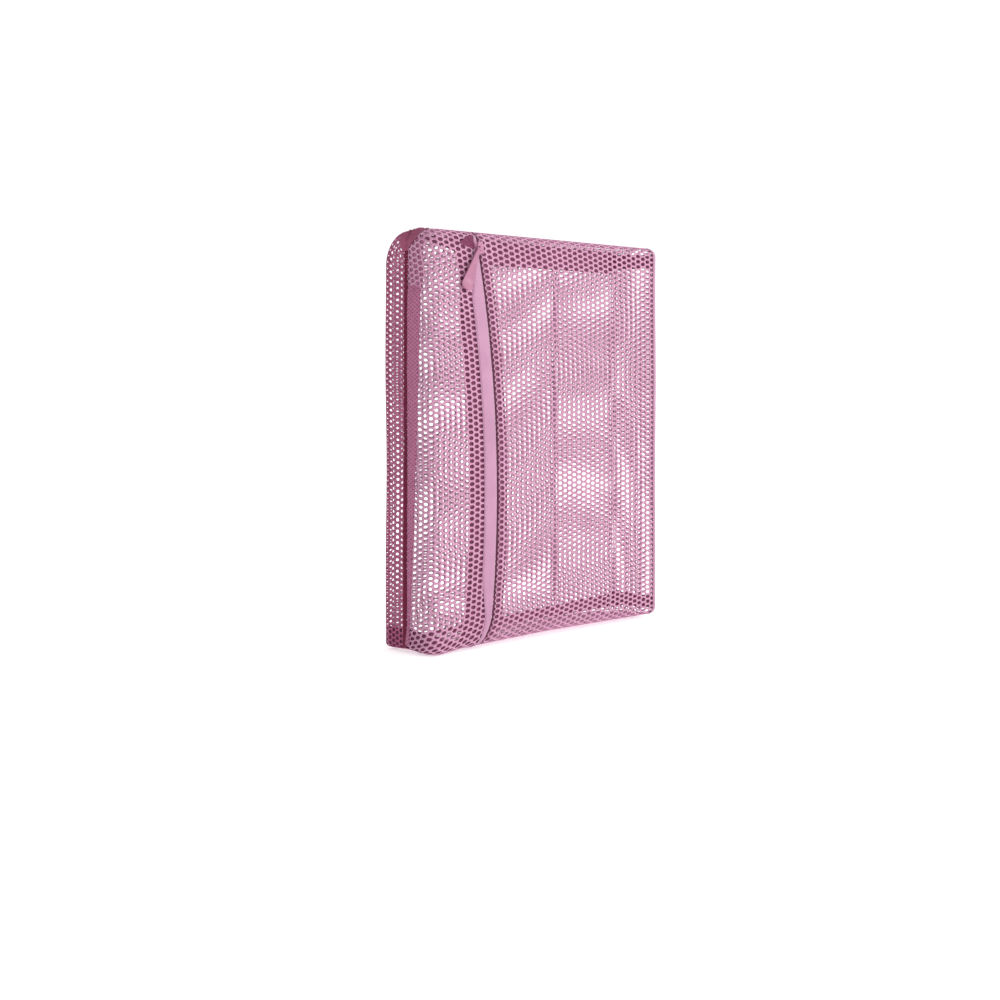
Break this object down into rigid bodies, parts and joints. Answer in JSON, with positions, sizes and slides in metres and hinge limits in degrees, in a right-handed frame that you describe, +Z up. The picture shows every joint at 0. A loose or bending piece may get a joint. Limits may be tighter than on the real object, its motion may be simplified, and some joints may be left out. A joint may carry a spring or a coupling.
{
  "type": "mesh laundry bag",
  "caption": "Zipped honeycomb-mesh laundry bag in dusty pink, filled to an upright box, with a bowed front zip near one side and a long drop pull.",
  "frame": {"origin": "under the middle of the whole part, on the surface that it stands on", "axes": "+X to the right along the front, front faces -Y, +Z up"},
  "size_m": [0.268, 0.06, 0.34],
  "materials": {
    "net_fabric": "open honeycomb warp-knit polyester net",
    "hem_fabric": "folded layers of the same net",
    "woven_tape": "smooth woven zip tape",
    "zip_coil": "nylon coil",
    "zip_stop": "moulded",
    "slider_metal": "painted to match the net",
    "pull_finish": "smooth satin paint"
  },
  "bodies": {
    "bag": {"front_net": "net_fabric", "front_strip_net": "net_fabric", "back_net": "net_fabric", "back_strip_net": "net_fabric", "top_net": "net_fabric", "bottom_net": "net_fabric", "right_side_net": "net_fabric", "right_edge_fold": "net_fabric", "side_seam_band": "hem_fabric", "top_corner_fold": "hem_fabric", "back_top_hem": "hem_fabric", "back_foot_hem": "hem_fabric", "side_top_hem": "hem_fabric", "side_foot_hem": "hem_fabric", "zip_hem": "hem_fabric", "back_seam_tape": "woven_tape", "zip_tape_left": "woven_tape", "zip_tape_right": "woven_tape", "zip_coil_left": "zip_coil", "zip_coil_right": "zip_coil", "zip_top_stop_left": "zip_stop", "zip_top_stop_right": "zip_stop", "zip_foot_stop": "zip_stop"},
    "slider": {"slider_body": "slider_metal"},
    "link": {"swivel_link": "slider_metal", "cross_pin": "slider_metal"},
    "pull": {"pull_tab": "pull_finish"}
  },
  "joints": [
    {"name": "zip_run", "type": "hinge", "parent": "bag", "child": "slider", "pos_m": [-0.9995, -0.02602, 0.1275], "axis": [0, 1, 0], "range_deg": [0, 17.22]},
    {"name": "pull_swing", "type": "hinge", "parent": "slider", "child": "link", "pos_m": [-0.08442, -0.02722, 0.32903], "axis": [0, 1, 0], "range_deg": [-60, 40]},
    {"name": "pull_flip", "type": "hinge", "parent": "link", "child": "pull", "pos_m": [-0.08586, -0.02867, 0.32508], "axis": [-0.9397, 0, 0.342], "range_deg": [0, 150]}
  ]
}
